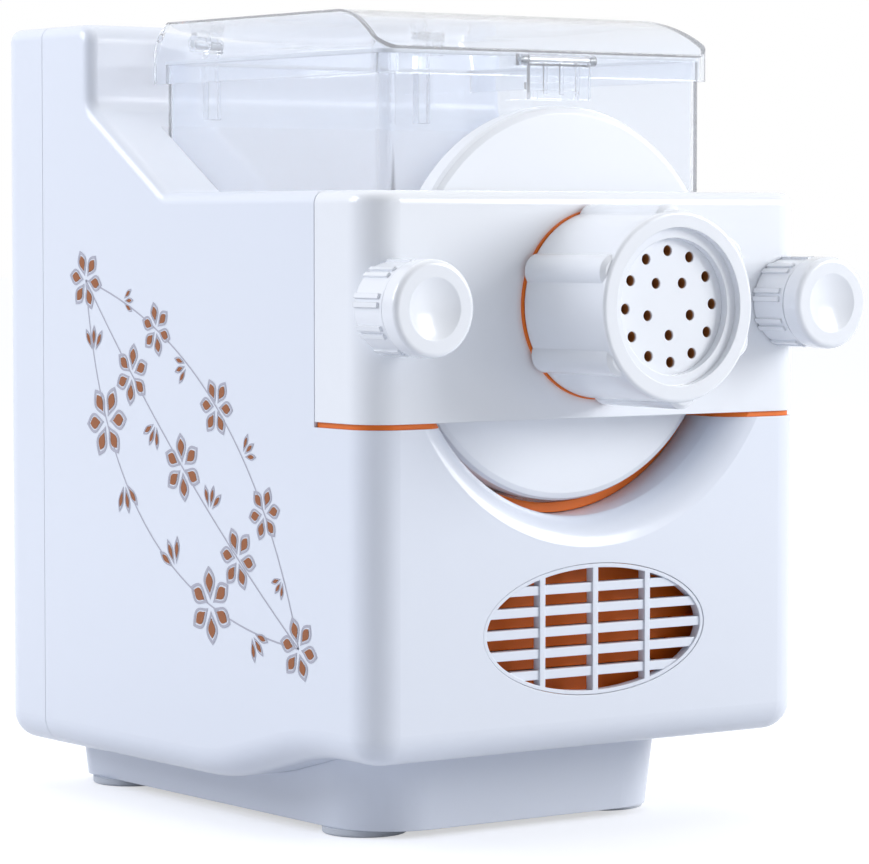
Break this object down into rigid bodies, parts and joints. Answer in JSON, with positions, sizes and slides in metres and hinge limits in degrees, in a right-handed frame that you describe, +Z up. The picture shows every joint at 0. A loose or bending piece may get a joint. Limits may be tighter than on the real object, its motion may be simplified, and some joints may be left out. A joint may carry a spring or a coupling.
{
  "type": "electric pasta maker",
  "caption": "Electric pasta maker: a motor turns a paddle in a clear lidded bin and a screw that presses dough through a round die.",
  "frame": {"origin": "on the table, under the middle of the outline box", "axes": "+Z up, -Y out of the front where the pasta leaves, +X to the right seen from the front"},
  "size_m": [0.2316, 0.3282, 0.3262],
  "materials": {
    "white_shell": "gloss",
    "white_trim": "gloss",
    "orange_plastic": "satin",
    "clear_plastic": "clear",
    "paddle_plastic": "satin",
    "soft_rubber": "matte",
    "steel": "brushed",
    "brass": "machined",
    "gear_plastic": "satin",
    "magnet_grey": "matte",
    "panel_grey": "satin",
    "display_dark": "gloss",
    "board_green": "satin",
    "button_plastic": "gloss",
    "black_plastic": "matte",
    "pin_metal": "plated"
  },
  "bodies": {
    "housing": {"outer_shell": "white_shell", "rear_cover": "white_shell", "base_plate": "white_shell", "grille": "white_shell", "front_bar": "white_trim", "front_disc": "white_trim", "die": "white_trim", "inner_frame": "orange_plastic", "vent_plate": "orange_plastic", "barrel_collar": "orange_plastic", "barrel": "orange_plastic", "flour_bin": "clear_plastic", "feet": "soft_rubber", "disc_seal": "soft_rubber", "shaft_seal": "soft_rubber", "base_screws": "steel", "cover_screws": "steel", "hinge_pins": "steel", "idler_axle": "steel", "motor_case": "steel", "thread_inserts": "brass", "output_bushes": "brass", "gearbox_case": "gear_plastic", "gearbox_cover": "gear_plastic", "motor_cradle": "gear_plastic", "motor_magnets": "magnet_grey", "control_panel": "panel_grey", "display_window": "display_dark", "circuit_board": "board_green", "lid_switch": "black_plastic", "mains_inlet": "black_plastic", "switch_frame": "black_plastic", "inlet_pins": "pin_metal"},
    "lid": {"lid": "clear_plastic", "lid_seal": "soft_rubber", "latch_pin": "steel"},
    "latch": {"latch": "clear_plastic"},
    "left_knob": {"left_knob": "white_trim", "left_stud": "steel"},
    "right_knob": {"right_knob": "white_trim", "right_stud": "steel"},
    "die_nut": {"die_nut": "white_trim"},
    "output_drive": {"auger": "orange_plastic", "mixing_paddle": "paddle_plastic", "output_shaft": "steel", "output_gear": "gear_plastic"},
    "idler": {"idler_gear": "gear_plastic"},
    "motor_rotor": {"motor_pinion": "brass", "motor_shaft": "steel", "rotor": "steel", "fan": "gear_plastic"},
    "start_button": {"start_button": "button_plastic"},
    "mix_button": {"mix_button": "button_plastic"},
    "press_button": {"press_button": "button_plastic"},
    "stop_button": {"stop_button": "button_plastic"},
    "power_rocker": {"power_rocker": "black_plastic"}
  },
  "joints": [
    {"name": "lid_hinge", "type": "hinge", "parent": "housing", "child": "lid", "pos_m": [0, 0.0775, 0.318], "axis": [-1, 0, 0], "range_deg": [0, 100]},
    {"name": "latch_hinge", "type": "hinge", "parent": "lid", "child": "latch", "pos_m": [0, -0.0881, 0.3055], "axis": [-1, 0, 0], "range_deg": [0, 45]},
    {"name": "left_knob_turn", "type": "hinge", "parent": "housing", "child": "left_knob", "pos_m": [-0.09745, -0.1135, 0.21], "axis": [0, -1, 0], "continuous": true},
    {"name": "right_knob_turn", "type": "hinge", "parent": "housing", "child": "right_knob", "pos_m": [0.09745, -0.1135, 0.21], "axis": [0, -1, 0], "continuous": true},
    {"name": "die_nut_turn", "type": "hinge", "parent": "housing", "child": "die_nut", "pos_m": [0, -0.1335, 0.21], "axis": [0, -1, 0], "continuous": true},
    {"name": "motor_spin", "type": "hinge", "parent": "housing", "child": "motor_rotor", "pos_m": [0, 0.0265, 0.088], "axis": [0, 1, 0], "continuous": true},
    {"name": "idler_spin", "type": "hinge", "parent": "housing", "child": "idler", "pos_m": [0, 0.0965, 0.138], "axis": [0, 1, 0], "continuous": true},
    {"name": "paddle_spin", "type": "hinge", "parent": "housing", "child": "output_drive", "pos_m": [0, 0.0065, 0.21], "axis": [0, 1, 0], "continuous": true},
    {"name": "rocker_tilt", "type": "hinge", "parent": "housing", "child": "power_rocker", "pos_m": [0.06, 0.155, 0.062], "axis": [1, 0, 0], "range_deg": [0, 16]},
    {"name": "start_press", "type": "slide", "parent": "housing", "child": "start_button", "axis": [0, 0, -1], "range_m": [0, 0.0012], "stiffness_N_per_m": 500, "springref_m": -0.0004},
    {"name": "mix_press", "type": "slide", "parent": "housing", "child": "mix_button", "axis": [0, 0, -1], "range_m": [0, 0.0012], "stiffness_N_per_m": 500, "springref_m": -0.0004},
    {"name": "press_press", "type": "slide", "parent": "housing", "child": "press_button", "axis": [0, 0, -1], "range_m": [0, 0.0012], "stiffness_N_per_m": 500, "springref_m": -0.0004},
    {"name": "stop_press", "type": "slide", "parent": "housing", "child": "stop_button", "axis": [0, 0, -1], "range_m": [0, 0.0012], "stiffness_N_per_m": 500, "springref_m": -0.0004}
  ],
  "couplings": [
    {"joint": "idler_spin", "follows": "motor_spin", "ratio": -0.25},
    {"joint": "paddle_spin", "follows": "motor_spin", "ratio": 0.05}
  ]
}
